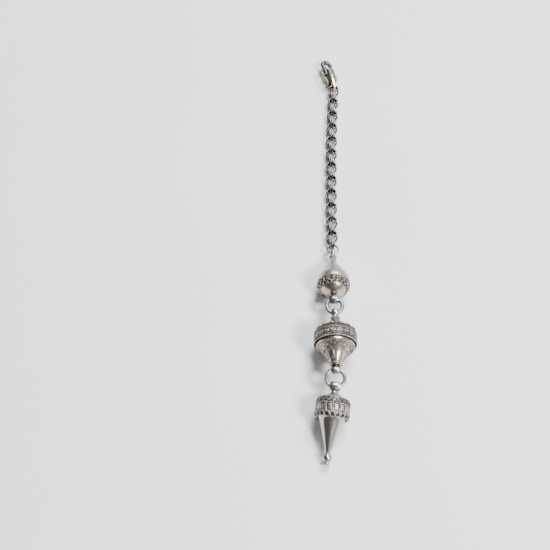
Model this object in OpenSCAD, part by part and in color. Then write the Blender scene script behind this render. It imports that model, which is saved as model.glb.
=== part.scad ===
// Pendant prayer wheel: a spring dog clip on a swivel, a double-ring curb chain, a ball bead,
// a wide drum that turns on its axle, and a long drop, all joined by rings.
// It lies on a flat surface, clip towards +Y, drop towards -Y. Millimetres, +Z up.
// Each body is drawn in its own frame: its own +Z runs along it towards the clip, its own +X
// is sideways and its own +Y points down at the surface. lay() puts that frame in place.

/* [Clip] */
// Outside width of the hook's bow
hook_w = 5.6; // [5.4:0.1:6]
// Thickness of the bow's round bar
hook_d = 2; // [1.8:0.05:2]
// Height of the bow's centre above the swivel collar's middle
hook_h = 8; // [7.8:0.1:8.4]
// Radius of the worn seat inside the bow, where a loop hangs
seat_r = 0.9; // [0.85:0.01:0.95]
// Lean of the bow towards its back, degrees
hook_lean = 6; // [4:1:8]
// Roll of the hook about the swivel, degrees
hook_roll = 20; // [0:1:40]
// Diameter of the swivel collar
collar_d = 5.3; // [5:0.1:5.5]

/* [Chain] */
// Diameter of the link wire
wire_d = 0.8; // [0.76:0.01:0.8]
// Number of doubled links
link_count = 12; // [4:1:12]
// Half length of a link's straight sides
link_half = 2.1; // [2.1:0.005:2.12]
// Radius of a link's ends, at the wire's middle
link_r = 1.95; // [1.93:0.01:1.97]
// Distance from one link to the next
link_pitch = 7; // [6.98:0.01:7.02]

/* [Rings] */
// Radius of the ring at the chain's end, at the wire's middle
end_ring_r = 2.3; // [2.25:0.05:2.35]
// Wire diameter of the ring at the chain's end
end_ring_d = 0.7; // [0.6:0.05:0.7]
// Radius of the upper jump ring, at the wire's middle
upper_ring_r = 3.05; // [3:0.05:3.2]
// Wire diameter of the upper jump ring
upper_ring_d = 1.5; // [1.4:0.05:1.5]
// Radius of the lower jump ring, at the wire's middle
lower_ring_r = 3.45; // [3.4:0.05:3.6]
// Wire diameter of the lower jump ring
lower_ring_d = 1.4; // [1.3:0.05:1.4]

/* [Ball bead] */
// Outside radius of the ball
ball_r = 6.4; // [6.2:0.1:6.5]
// Distance from the upper eye to the middle of the ball
ball_drop = 15.5; // [15.2:0.1:16]
// Distance from the middle of the ball to the lower eye
ball_tail = 8.7; // [8.5:0.1:9]

/* [Wheel] */
// Outside radius of the drum's wall
drum_r = 8; // [7.9:0.05:8.1]
// Height of the drum's wall
drum_h = 4.3; // [4:0.1:4.6]
// Height of the upper eye above the drum's lower edge
wheel_top = 14.8; // [14.7:0.1:15.2]
// Depth of the lower eye below the drum's lower edge
wheel_bottom = 10.5; // [10.5:0.1:11]
// Diameter of the axle
axle_d = 1.2; // [1.1:0.05:1.2]

/* [Drop] */
// Outside radius of the ribbed band
band_r = 6.1; // [6:0.05:6.2]
// Number of ribs round the band
rib_count = 16; // [8:1:20]
// Length of the smooth cone
cone_len = 12.4; // [12:0.1:13]
// Radius of the ball at the tip
tip_r = 1.8; // [1.6:0.1:1.9]

/* [Hidden] */
function link_name(i, side) = str("chain_link_", i < 10 ? "0" : "", i, side);
$fn = 48;

link_twist = 45;         // each end of a link stands this far off its flat, one each way
wall = 0.5;              // sheet thickness of the hollow pieces
fit = 0.05;              // radial clearance of everything that turns
touch = 0.01;            // gap between soldered neighbours
nothing = 0.001;         // overlap that keeps two joined shapes one solid
silver = "Silver";
dark_silver = "DimGray";
warm_silver = "RosyBrown";

// How each body lies: [yaw, tilt] in degrees. Positive yaw swings the lower end towards +X,
// positive tilt lifts it.
swivel_lie = [11.7, 0];
end_ring_lie = [0, 15];
ball_lie = [-1, 10];
upper_ring_lie = [3.5, -3.3];
wheel_lie = [-1.5, 4.5];
lower_ring_lie = [-3, -7];
drop_lie = [-7.6, -12.5];
chain_sweep = 0.32;      // yaw gained at each link towards the clip
chain_lift = 2;          // tilt gained at each of the last two links towards the bead
clip_lift = 6;           // the first link climbs this much to the swivel
chain_roll = -40;        // the whole chain lies rolled this far about its own line
function link_lie(i) =
    [-0.3 - chain_sweep * (link_count - i),
     chain_lift * max(0, i - (link_count - 2)) - (i == 1 ? clip_lift : 0)];

// Unit vector along a body towards the clip.
function up(lie) = [-sin(lie[0]) * cos(lie[1]), cos(lie[0]) * cos(lie[1]), -sin(lie[1])];

// A ring's wire bows inside an eye of length len: its inner side meets the eye's ends this far
// from the ring's centre. The eye's middle sits halfway between there and the wire's outer side,
// and its hole leaves room for the bow and for the yaw between the ring and the eye.
ring_play = 0.06;
function inner_side(r, d, len) = sqrt(pow(r - d / 2, 2) - len * len / 4);
function reach(r, d, len) = (r + d / 2 + inner_side(r, d, len)) / 2;
function eye_hole(r, d, len, ring_lie, eye_lie) =
    (r + d / 2 - inner_side(r, d, len)) / 2 + len / 2 * sin(abs(ring_lie[0] - eye_lie[0]))
    + ring_play;

bead_top_eye_len = 2;
bead_bottom_eye_len = 3.4;
wheel_top_eye_len = 2.6;
wheel_bottom_eye_len = 3.3;
drop_eye_len = 3.9;
end_ring_seat = 0.95;    // from the end ring's middle up to the last link's wire
bail_seat = 4.4;         // from the collar's middle down to the first link's wire
link_end = link_half + link_r;

// Places of the bodies, worked out from the drum upwards and downwards.
wheel_at = [0.1, -51.4, 8.66];
wheel_top_at = wheel_at + wheel_top * up(wheel_lie);
wheel_bottom_at = wheel_at - wheel_bottom * up(wheel_lie);
upper_ring_at = wheel_top_at
    + reach(upper_ring_r, upper_ring_d, wheel_top_eye_len) * up(upper_ring_lie);
ball_bottom_at = upper_ring_at
    + reach(upper_ring_r, upper_ring_d, bead_bottom_eye_len) * up(upper_ring_lie);
ball_at = ball_bottom_at + (ball_drop + ball_tail) * up(ball_lie);
end_ring_at = ball_at + reach(end_ring_r, end_ring_d, bead_top_eye_len) * up(end_ring_lie);
last_link_at = end_ring_at + end_ring_seat * up(end_ring_lie) + link_end * up(link_lie(link_count));
function link_at(i) = i >= link_count ? last_link_at
    : link_at(i + 1) + link_pitch * up((link_lie(i) + link_lie(i + 1)) / 2);
swivel_at = link_at(1) + link_end * up(link_lie(1)) + bail_seat * up(swivel_lie);
lower_ring_at = wheel_bottom_at
    - reach(lower_ring_r, lower_ring_d, wheel_bottom_eye_len) * up(lower_ring_lie);
drop_at = lower_ring_at - reach(lower_ring_r, lower_ring_d, drop_eye_len) * up(lower_ring_lie);

module lay(place, lie) {
    translate(place) rotate([-90 - lie[1], 0, lie[0]]) children();
}

// ---- shared shapes -------------------------------------------------------------------

// A closed ring of round wire standing in its body's X-Z plane.
module wire_ring(r, d) {
    rotate([90, 0, 0]) rotate_extrude() translate([r, 0]) circle(d = d);
}

// A cross tube along X with a round post that stands on the body's axis from z0 to z1.
module eye(len, hole_r, outer_r, post_r, z0, z1) {
    difference() {
        union() {
            rotate([0, 90, 0]) cylinder(r = outer_r, h = len, center = true);
            translate([0, 0, z0]) cylinder(r = post_r, h = z1 - z0);
        }
        rotate([0, 90, 0]) cylinder(r = hole_r, h = len + 2, center = true);
    }
}

// Everything of a profile between two heights.
module between(z0, z1) {
    intersection() {
        children();
        translate([0, z0]) square([20, z1 - z0]);
    }
}

// A strip of sheet with a toothed edge: a turned profile with a row of V-shaped notches.
module toothed(count, notch, edge_z) {
    difference() {
        rotate_extrude($fn = 96) children();
        for (k = [0:count - 1]) rotate([0, 0, k * 360 / count]) translate([0, 0, edge_z])
            hull() rotate([45, 0, 0]) translate([0, -notch / 2, -notch / 2]) cube([12, notch, notch]);
    }
}

// ---- clip ----------------------------------------------------------------------------

bow_r = hook_w / 2 - hook_d / 2;     // bow's radius at the bar's middle
boss_z0 = 0.85;
boss_z1 = 4;
hub = [0.1, 2.9];                    // gate pivot in the hook's plane
hub_r = 0.9;
slot_w = 0.9;
gate_t = 0.8;
pin_d = 0.7;

module in_clip() { lay(swivel_at, swivel_lie) rotate([0, 0, hook_roll]) children(); }

// The bow, the nose and the gate lean together about the gate's pivot.
module leaning() {
    translate([hub[0], 0, hub[1]]) rotate([0, -hook_lean, 0])
        translate([-hub[0], 0, -hub[1]]) children();
}

// A flat strip from p to q with round ends.
module strip(p, q, w) {
    hull() for (end = [p, q]) translate(end) circle(d = w);
}

module clip_hook() {
    nose_z = hook_h - 0.55;
    color(dark_silver) in_clip() difference() {
        union() {
            translate([0, 0, boss_z0]) cylinder(r = 2.2, h = boss_z1 - boss_z0);
            leaning() {
                translate([0, 0, hook_h]) rotate([90, 0, 0])
                    rotate_extrude(angle = 180) translate([bow_r, 0]) circle(d = hook_d);
                translate([-bow_r, 0, boss_z0 + 1.2])
                    cylinder(d = hook_d, h = hook_h - boss_z0 - 1.2 + nothing);
                translate([bow_r, 0, nose_z]) cylinder(d = hook_d, h = hook_h - nose_z + nothing);
            }
        }
        translate([-4, -slot_w / 2, 1.3]) cube([8, slot_w, boss_z1 - 1.3 + 0.6]);
        leaning() translate([0, 0, hook_h]) rotate([90, 0, 0])
            cylinder(r = seat_r, h = 6, center = true);
        translate([hub[0], 0, hub[1]]) rotate([90, 0, 0])
            cylinder(d = pin_d, h = 6, center = true);
        translate([0, 0, boss_z0 - 0.1]) cylinder(d = 1.4, h = 0.45 + 0.1);
    }
}

module gate_lever() {
    elbow = [-3.8, 2.6];
    thumb = [-4.7, -2.2];
    fillet = 0.2;
    color(dark_silver) in_clip() leaning()
        rotate([90, 0, 0]) linear_extrude(height = gate_t, center = true) difference() {
            offset(r = -fillet) offset(r = fillet) {
                strip(hub, [bow_r, hook_h - 1.6], 1.3);
                strip(hub, elbow, 0.8);
                strip(elbow, thumb, 0.8);
                translate(hub) circle(r = hub_r);
            }
            translate(hub) circle(d = pin_d + 2 * fit);
        }
}

module gate_pin() {
    color(silver) in_clip() translate([hub[0], 0, hub[1]]) rotate([90, 0, 0])
        cylinder(d = pin_d, h = 4.2, center = true);
}

module gate_spring() {
    color("LightSteelBlue") in_clip() translate([-1.9, -0.3, 1.3]) cube([1.7, 0.6, 0.2]);
}

// ---- swivel --------------------------------------------------------------------------

collar_t = 1.6;
stud_d = 1.4;

module in_swivel() { lay(swivel_at, swivel_lie) rotate([0, 0, chain_roll - link_twist]) children(); }

module swivel_stud() {
    color(silver) in_clip() {
        translate([0, 0, -collar_t - 0.1]) cylinder(d = stud_d, h = collar_t + 0.1 + boss_z0 + 0.45);
        translate([0, 0, -collar_t - 0.55]) cylinder(r = 0.93, h = 0.5);
    }
}

module swivel_collar() {
    color("Gainsboro") in_swivel() difference() {
        rotate_extrude($fn = 64) {
            translate([0, -collar_t / 2]) square([collar_d / 2 - 0.4, collar_t]);
            translate([0, -0.4]) square([collar_d / 2, 0.8]);
            for (side = [-1, 1]) translate([collar_d / 2 - 0.4, side * 0.4]) circle(r = 0.4);
        }
        cylinder(d = stud_d + 2 * fit, h = 4, center = true);
    }
}

module swivel_bail() {
    opening_r = 1.15;
    opening_z = -bail_seat + 0.1;
    foot_z = opening_z - opening_r - 0.65;
    round_z = opening_z + opening_r;
    top_z = -collar_t / 2;
    color(silver) in_swivel() difference() {
        union() {
            translate([0, 0, top_z - collar_t / 2]) cylinder(r = 2.45, h = collar_t / 2);
            intersection() {
                translate([0, 0, foot_z]) cylinder(r1 = 1.65, r2 = 2.45, h = top_z - foot_z);
                union() {
                    cube([6, 1.2, 20], center = true);
                    translate([-3, -3, round_z]) cube([6, 6, top_z - round_z]);
                }
            }
        }
        translate([-opening_r, -3, opening_z]) cube([2 * opening_r, 6, -collar_t - opening_z]);
        translate([0, 0, opening_z]) rotate([90, 0, 0]) cylinder(r = opening_r, h = 6, center = true);
        cylinder(d = stud_d + 2 * fit, h = 8, center = true);
    }
}

// ---- chain ---------------------------------------------------------------------------

link_steps_end = 8;      // facets round each end of a link
link_steps_side = 6;     // facets along each straight side
link_sides = 8;          // facets round the wire
pair_gap = 0.03;
splay = 0.3;             // the two rings of a link bow apart by this much each at mid-length
twist_reach = link_half + 0.6 * link_r;

// The link's flat outline: place, direction and outward normal, each as [across, along].
function end_point(a, z) =
    [[link_r * cos(a), z + link_r * sin(a)], [-sin(a), cos(a)], [cos(a), sin(a)]];
link_outline = concat(
    [for (k = [0:link_steps_end - 1]) end_point(180 * k / link_steps_end, link_half)],
    [for (k = [0:link_steps_side - 1])
        [[-link_r, link_half * (1 - 2 * k / link_steps_side)], [0, -1], [-1, 0]]],
    [for (k = [0:link_steps_end - 1]) end_point(180 + 180 * k / link_steps_end, -link_half)],
    [for (k = [0:link_steps_side - 1])
        [[link_r, -link_half * (1 - 2 * k / link_steps_side)], [0, 1], [1, 0]]]);

// Twist at a height, easing off towards both ends, and how fast it changes there.
function eased(z) = max(-1, min(1, z / twist_reach));
function twist(z) = link_twist * 1.5 * (eased(z) - pow(eased(z), 3) / 3);
function twist_rate(z) =
    link_twist * PI / 180 * 1.5 * (1 - pow(eased(z), 2)) / twist_reach;
function unit(v) = v / norm(v);

// One ring of facets round the wire at one outline point, on one side of the pair.
function wire_facets(point, side) =
    let (u = point[0][0], z = point[0][1], a = twist(z), rate = twist_rate(z) * point[1][1],
         along = unit([point[1][0] * cos(a) - u * sin(a) * rate,
                       point[1][0] * sin(a) + u * cos(a) * rate, point[1][1]]),
         out = [point[2][0] * cos(a), point[2][0] * sin(a), point[2][1]],
         across = unit(cross(along, out)),
         normal = cross(across, along),
         middle = [u * cos(a), u * sin(a), z] + across * side * ((wire_d + pair_gap) / 2 + splay * (1 - pow(eased(z), 2))))
    [for (j = [0:link_sides - 1]) let (b = (j + 0.5) * 360 / link_sides)
        middle + wire_d / 2 * (normal * cos(b) + across * sin(b))];

module curb_ring(side) {
    count = len(link_outline);
    points = [for (point = link_outline) each wire_facets(point, side)];
    faces = [for (i = [0:count - 1]) for (j = [0:link_sides - 1])
        let (i2 = (i + 1) % count, j2 = (j + 1) % link_sides)
        each [[i * link_sides + j, i * link_sides + j2, i2 * link_sides + j2],
              [i * link_sides + j, i2 * link_sides + j2, i2 * link_sides + j]]];
    polyhedron(points, faces);
}

module chain_link(i, side) {
    color(dark_silver) lay(link_at(i), link_lie(i)) rotate([0, 0, chain_roll])
        curb_ring(side == "a" ? -1 : 1);
}

module chain_end_ring() {
    color(silver) lay(end_ring_at, end_ring_lie) wire_ring(end_ring_r, end_ring_d);
}

// ---- ball bead -----------------------------------------------------------------------

seam = ball_drop + 1.2;              // the two halves of the ball meet here
neck_z = -3;                         // the neck starts to flare here
flare_r = 9;                         // radius of the neck's hollow curve

module ball_profile(r) { translate([0, -ball_drop]) circle(r = r, $fn = 96); }

module bead_top_eye() {
    hole = eye_hole(end_ring_r, end_ring_d, bead_top_eye_len, end_ring_lie, ball_lie);
    color(silver) lay(ball_at, ball_lie)
        eye(bead_top_eye_len, hole, 1.25, 0.6, -3.2, -hole - 0.3);
}

module bead_neck_shell() {
    color("DarkGray") lay(ball_at, ball_lie) difference() {
        rotate_extrude($fn = 96) {
            between(-seam, -ball_drop + 5) difference() {
                ball_profile(ball_r);
                ball_profile(ball_r - wall);
            }
            difference() {
                translate([0, -ball_drop + 4.9]) square([4.2, ball_drop - 4.9 + neck_z + nothing]);
                translate([1.3 + flare_r, neck_z]) circle(r = flare_r, $fn = 96);
                ball_profile(ball_r - wall);
            }
            translate([0, neck_z]) square([1.3, 1.25]);
        }
        translate([0, 0, -3.2]) cylinder(r = 0.6, h = 4);
    }
}

module bead_lower_bowl() {
    color(warm_silver) lay(ball_at, ball_lie) difference() {
        rotate_extrude($fn = 96) between(-ball_drop - ball_r, -seam) difference() {
            ball_profile(ball_r);
            ball_profile(ball_r - wall);
        }
        translate([0, 0, -ball_drop - ball_r - 1]) cylinder(r = 0.8, h = 3);
    }
}

// The strip follows the ball from 11 to 41 degrees below its middle, in three flat steps.
module bead_gallery() {
    function arc(r, turn) = [for (k = [0:3]) let (a = turn > 0 ? -11 - 10 * k : -41 + 10 * k)
        [r * cos(a), -ball_drop + r * sin(a)]];
    color("DarkGray") lay(ball_at, ball_lie) toothed(18, 1.1, -ball_drop - 4.45)
        polygon(concat(arc(ball_r + 0.35, 1), arc(ball_r + 0.04, -1)));
}

module bead_bottom_eye() {
    hole = eye_hole(upper_ring_r, upper_ring_d, bead_bottom_eye_len, upper_ring_lie, ball_lie);
    bottom = -ball_drop - ball_tail;
    color(dark_silver) lay(ball_at, ball_lie) translate([0, 0, bottom])
        eye(bead_bottom_eye_len, hole, 1.6, 0.8, hole + 0.2, ball_tail - ball_r + wall + 0.4);
}

module upper_jump_ring() {
    color(dark_silver) lay(upper_ring_at, upper_ring_lie) wire_ring(upper_ring_r, upper_ring_d);
}

// ---- wheel ---------------------------------------------------------------------------

shoulder_r = 2.6;                    // radius of the dome's round shoulder
shoulder_end = 60;                   // the shoulder turns this far, then a straight slope follows
crown_z0 = 8.5;                      // crown stands on the dome here
crown_z1 = 12.9;
cone_z = -8.8;                       // lower end of the hollow cone
skirt_r = 7.46;                      // rim of the lower shell
skirt_z = -0.9;
hollow_r = 14.7;                     // radius of the lower shell's hollow curve
hollow_at = [16.03, -12.84];         // and its centre
bore_r = axle_d / 2 + fit;
axle_head = 0.45;                    // the axle stands this far out of the crown
axle_foot = 0.45;                    // and this far out of the cone

module in_wheel() { lay(wheel_at, wheel_lie) children(); }

module wheel_axle() {
    color(silver) in_wheel() translate([0, 0, cone_z - axle_foot])
        cylinder(d = axle_d, h = crown_z1 + axle_head - cone_z + axle_foot);
}

// Eyes at the axle's two ends, each with a socket that the axle is soldered into.
module axle_eye(len, hole, outer, socket, socket_r, axle_end) {
    difference() {
        union() {
            rotate([0, 90, 0]) cylinder(r = outer, h = len, center = true);
            translate([0, 0, hole + 0.1]) cylinder(r = socket_r, h = socket - hole - 0.1);
        }
        rotate([0, 90, 0]) cylinder(r = hole, h = len + 2, center = true);
        translate([0, 0, axle_end]) cylinder(d = axle_d, h = 4);
    }
}

module wheel_top_eye() {
    hole = eye_hole(upper_ring_r, upper_ring_d, wheel_top_eye_len, upper_ring_lie, wheel_lie);
    color(silver) in_wheel() translate([0, 0, wheel_top]) mirror([0, 0, 1])
        axle_eye(wheel_top_eye_len, hole, 1.45, wheel_top - crown_z1 - 0.1, 0.95,
                 wheel_top - crown_z1 - axle_head);
}

module wheel_bottom_eye() {
    hole = eye_hole(lower_ring_r, lower_ring_d, wheel_bottom_eye_len, lower_ring_lie, wheel_lie);
    color(silver) in_wheel() translate([0, 0, -wheel_bottom])
        axle_eye(wheel_bottom_eye_len, hole, 1.5, wheel_bottom + cone_z - 0.08, 1.2,
                 wheel_bottom + cone_z - axle_foot);
}

module wheel_crown() {
    color("DarkGray") in_wheel() difference() {
        rotate_extrude($fn = 64) {
            difference() {
                translate([0, crown_z0]) square([3, 2.2]);
                translate([3.9, crown_z0 + 2.6]) circle(r = 2.45);
            }
            translate([0, crown_z0 + 2.1]) square([1.55, crown_z1 - crown_z0 - 2.1]);
            translate([1.5, crown_z0 + 2.4]) circle(r = 0.7);
        }
        translate([0, 0, crown_z0 - 1]) cylinder(r = bore_r, h = 8);
    }
}

function shoulder(r, a) = [drum_r - shoulder_r + r * cos(a), drum_h + r * sin(a)];

module wheel_upper_shell() {
    color("DarkGray") in_wheel() difference() {
        rotate_extrude($fn = 96) polygon(concat(
            [for (a = [0:10:shoulder_end]) shoulder(shoulder_r, a)],
            [[3, crown_z0], [0, crown_z0], [0, crown_z0 - wall], [2.9, crown_z0 - wall]],
            [for (a = [shoulder_end:-10:0]) shoulder(shoulder_r - wall, a)]));
        cylinder(r = bore_r + 0.15, h = 30);
    }
}

module wheel_drum_wall() {
    color("DarkGray") in_wheel() difference() {
        cylinder(r = drum_r, h = drum_h, $fn = 96);
        translate([0, 0, -1]) cylinder(r = drum_r - wall, h = drum_h + 2, $fn = 96);
    }
}

rim_wire_r = 0.17;
module rim_wire(z) {
    color(silver) in_wheel() translate([0, 0, z]) rotate_extrude($fn = 96)
        translate([drum_r + rim_wire_r + touch, 0]) circle(r = rim_wire_r, $fn = 24);
}
module wheel_upper_rim_wire() { rim_wire(drum_h - 0.3); }
module wheel_lower_rim_wire() { rim_wire(rim_wire_r + 0.05); }

// Small rings with a grain in each, soldered round the dome's shoulder.
rosette_count = 12;
rosette_lean = 50;
module wheel_rosettes() {
    color(silver) in_wheel() for (k = [0:rosette_count - 1]) rotate([0, 0, k * 360 / rosette_count])
        translate([drum_r - shoulder_r, 0, drum_h]) rotate([0, rosette_lean, 0])
            translate([0, 0, shoulder_r]) {
                translate([0, 0, 0.2]) rotate_extrude() translate([0.8, 0]) circle(r = 0.2, $fn = 24);
                translate([0, 0, 0.3 + touch]) sphere(r = 0.3, $fn = 24);
            }
}

// Narrow floor of the groove between the drum's wall and the lower shell's rim.
module wheel_base_ring() {
    color(warm_silver) in_wheel() translate([0, 0, 0.3]) difference() {
        cylinder(r = drum_r - wall, h = 0.4, $fn = 96);
        translate([0, 0, -1]) cylinder(r = skirt_r - 0.7, h = 3, $fn = 96);
    }
}

module wheel_lower_shell() {
    color(warm_silver) in_wheel() difference() {
        rotate_extrude($fn = 96) {
            difference() {
                translate([0, cone_z]) square([skirt_r, skirt_z - cone_z + 0.4]);
                translate(hollow_at) circle(r = hollow_r, $fn = 128);
            }
            translate([skirt_r - 0.66, skirt_z]) square([0.66, 0.3 - skirt_z]);
        }
        rotate_extrude($fn = 96) difference() {
            translate([0, cone_z + 1.5]) square([skirt_r - wall, 20]);
            translate(hollow_at + [-wall, wall * 0.6]) circle(r = hollow_r, $fn = 128);
        }
        translate([0, 0, cone_z - 1]) cylinder(r = bore_r, h = 6);
    }
}

module prayer_scroll() {
    color("Wheat") in_wheel() difference() {
        translate([0, 0, 0.9]) cylinder(r = 5.8, h = drum_h + 1.1);
        cylinder(r = 1, h = 20);
    }
}

module lower_jump_ring() {
    color(silver) lay(lower_ring_at, lower_ring_lie) wire_ring(lower_ring_r, lower_ring_d);
}

// ---- drop ----------------------------------------------------------------------------

cap_z = -4.9;                        // cap meets the upper gallery's sheet
band_z1 = -7;
band_z0 = -10.2;
cone_z1 = -12.4;
cone_z0 = cone_z1 - cone_len;
cone_r1 = 4.65;
cone_r0 = 0.9;
ball_z = cone_z0 - 1.6;

module in_drop() { lay(drop_at, drop_lie) children(); }

module drop_eye() {
    hole = eye_hole(lower_ring_r, lower_ring_d, drop_eye_len, lower_ring_lie, drop_lie);
    color(silver) in_drop() eye(drop_eye_len, hole, 1.6, 0.7, -3.4, -hole - 0.2);
}

// Cap: a hollow-sided neck on a rounded shoulder that reaches down to the band.
module drop_cap() {
    color("DarkGray") in_drop() difference() {
        rotate_extrude($fn = 96) difference() {
            polygon([[0, -1.8], [1.3, -1.8], [1.4, -2.4], [2.1, -3.1], [3.4, -3.8], [4.7, -4.3],
                     [5.5, cap_z], [band_r - 0.25, -6.1], [band_r - 0.1, band_z1], [0, band_z1]]);
            polygon([[0, -4], [3.2, -4.6], [4.5, -5], [5.1, -5.5], [band_r - 0.7, -6.3],
                     [band_r - 0.6, band_z1 - 1], [0, band_z1 - 1]]);
        }
        cylinder(r = 0.7, h = 8, center = true);
        rotate([0, 90, 0]) cylinder(r = 1.6 + touch, h = 8, center = true);
    }
}

module drop_upper_gallery() {
    color("DarkGray") in_drop() toothed(20, 0.8, -5)
        polygon([[5.62, -5], [5.85, -5], [band_r + 0.2, -6.1], [band_r + 0.42, -6.7],
                 [band_r + 0.3, band_z1], [band_r - 0.08, band_z1], [band_r - 0.2, -6.05]]);
}

module drop_band() {
    color(silver) in_drop() difference() {
        translate([0, 0, band_z0]) cylinder(r = band_r, h = band_z1 - band_z0, $fn = 96);
        translate([0, 0, band_z0 - 1]) cylinder(r = band_r - wall, h = 6, $fn = 96);
    }
}

// Half of each upright wire shows as a rib round the band.
module drop_ribs() {
    rib_r = 0.2;
    color(silver) in_drop() for (k = [0:rib_count - 1]) rotate([0, 0, k * 360 / rib_count])
        translate([band_r + rib_r + touch, 0, band_z0 + 0.1])
            cylinder(r = rib_r, h = band_z1 - band_z0 - 0.2, $fn = 24);
}

module drop_lower_gallery() {
    color("DarkGray") in_drop() toothed(20, 1.1, -12.4)
        polygon([[band_r - 0.25, band_z0], [band_r + 0.3, band_z0], [band_r + 0.45, -10.6],
                 [band_r + 0.2, -11.3], [5.8, -12.4], [5.4, -12.4], [band_r - 0.25, -10.9]]);
}

module drop_cone() {
    color(warm_silver) in_drop() difference() {
        rotate_extrude($fn = 96) difference() {
            polygon([[0, cone_z0], [cone_r0, cone_z0], [cone_r1, cone_z1], [band_r - 0.35, -11.2],
                     [band_r - 0.3, band_z0], [0, band_z0]]);
            polygon([[0, cone_z0 + 4], [1.5, cone_z0 + 4], [cone_r1 - 0.55, cone_z1],
                     [band_r - 0.9, -11.2], [band_r - 0.9, band_z0 + 1], [0, band_z0 + 1]]);
        }
        translate([0, 0, cone_z0 - 1]) cylinder(r = 0.35, h = 3);
    }
}

module drop_finial_ball() {
    color(silver) in_drop() difference() {
        translate([0, 0, ball_z]) sphere(r = tip_r, $fn = 64);
        translate([-3, -3, cone_z0]) cube([6, 6, 3]);
        translate([-3, -3, ball_z - tip_r * 0.82 - 3]) cube([6, 6, 3]);
    }
}

module drop_finial_button() {
    color(silver) in_drop() translate([0, 0, ball_z - tip_r * 0.82 - 1.1]) cylinder(r = 1.1, h = 1.1);
}

// ---- nodes ---------------------------------------------------------------------------

clip_hook();
gate_lever();
gate_pin();
gate_spring();
swivel_stud();
swivel_collar();
swivel_bail();
for (i = [1:link_count]) for (side = ["a", "b"])
    chain_link(i, side);
chain_end_ring();
bead_top_eye();
bead_neck_shell();
bead_lower_bowl();
bead_gallery();
bead_bottom_eye();
upper_jump_ring();
wheel_axle();
wheel_top_eye();
wheel_bottom_eye();
wheel_crown();
wheel_upper_shell();
wheel_drum_wall();
wheel_upper_rim_wire();
wheel_lower_rim_wire();
wheel_rosettes();
wheel_base_ring();
wheel_lower_shell();
prayer_scroll();
lower_jump_ring();
drop_eye();
drop_cap();
drop_upper_gallery();
drop_band();
drop_ribs();
drop_lower_gallery();
drop_cone();
drop_finial_ball();
drop_finial_button();
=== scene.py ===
"""Looks of the pendant prayer wheel: dog clip, curb chain, ball bead, wheel and drop."""
from math import cos, pi, radians, sin, sqrt, tau

import bmesh
import bpy
from mathutils import Matrix, Vector


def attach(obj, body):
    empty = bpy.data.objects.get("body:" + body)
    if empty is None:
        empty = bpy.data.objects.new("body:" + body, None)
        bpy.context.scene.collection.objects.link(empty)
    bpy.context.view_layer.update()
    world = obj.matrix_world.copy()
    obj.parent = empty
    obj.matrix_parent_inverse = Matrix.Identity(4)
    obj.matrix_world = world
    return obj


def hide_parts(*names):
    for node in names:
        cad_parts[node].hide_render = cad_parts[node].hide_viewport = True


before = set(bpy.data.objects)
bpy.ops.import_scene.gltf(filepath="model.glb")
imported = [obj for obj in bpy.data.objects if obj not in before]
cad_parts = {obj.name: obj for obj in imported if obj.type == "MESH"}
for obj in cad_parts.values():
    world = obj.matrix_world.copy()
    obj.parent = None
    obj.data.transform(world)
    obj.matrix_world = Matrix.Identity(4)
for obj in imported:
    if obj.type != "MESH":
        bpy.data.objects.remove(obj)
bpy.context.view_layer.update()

# ---- where the bodies lie --------------------------------------------------------------

# Sizes are in millimetres and angles in degrees unless they say otherwise. Each body has its
# own frame: +Z runs along it towards the clip, and +Y points down at the surface it lies on.
MM = 0.001
NO_MOVE = Matrix.Identity(4)


def up(lie):
    """Unit vector along a body towards the clip, from its yaw and tilt in degrees."""
    yaw, tilt = radians(lie[0]), radians(lie[1])
    return Vector((-sin(yaw) * cos(tilt), cos(yaw) * cos(tilt), -sin(tilt)))


def lay(place, lie):
    """Matrix from a body's own frame, in millimetres, to the shared frame, in metres."""
    return (Matrix.Scale(MM, 4) @ Matrix.Translation(place)
            @ Matrix.Rotation(radians(lie[0]), 4, "Z")
            @ Matrix.Rotation(radians(-90 - lie[1]), 4, "X"))


def reach(ring_r, wire, eye_len):
    """From a ring's middle to the middle of an eye that hangs on it."""
    return (ring_r + wire / 2 + sqrt((ring_r - wire / 2) ** 2 - eye_len ** 2 / 4)) / 2


LINKS = 12
LINK_HALF, LINK_R, PITCH = 2.1, 1.95, 7.0
# Each ring's radius at the wire's middle, and its wire's diameter.
UPPER_RING, LOWER_RING, END_RING = (3.05, 1.5), (3.45, 1.4), (2.3, 0.7)
BEAD_TOP_EYE, BEAD_BOTTOM_EYE, WHEEL_TOP_EYE = 2.0, 3.4, 2.6        # lengths of the eyes
WHEEL_BOTTOM_EYE, DROP_EYE = 3.3, 3.9
END_RING_SEAT = 0.95                    # from the end ring's middle to the last link's wire
BALL_R, BALL_DROP, BALL_TAIL = 6.4, 15.5, 8.7
DRUM_R, DRUM_H, DOME_R = 8.0, 4.3, 2.6
WHEEL_TOP, WHEEL_BOTTOM = 14.8, 10.5
BAND_R, BAND_TOP, BAND_FOOT = 6.1, -7.0, -10.2
CONE_FOOT = -24.8
SHEET, THIN_SHEET = 0.5, 0.4            # walls of the hollow pieces
PAIR_GAP = 0.03                         # between the two rings of a link
FINISHED_WIRE = 0.85                    # wire of the finished links
LINK_TWIST = radians(45)

END_RING_LIE, BALL_LIE = (0, 15), (-1, 10)
UPPER_RING_LIE, WHEEL_LIE = (3.5, -3.3), (-1.5, 4.5)
LOWER_RING_LIE, DROP_LIE = (-3, -7), (-7.6, -12.5)


def link_lie(i):
    """Yaw and tilt of a link: the chain drifts sideways and lifts at both ends."""
    return (-0.3 - 0.32 * (LINKS - i), 2 * max(0, i - (LINKS - 2)) - (6 if i == 1 else 0))


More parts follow.
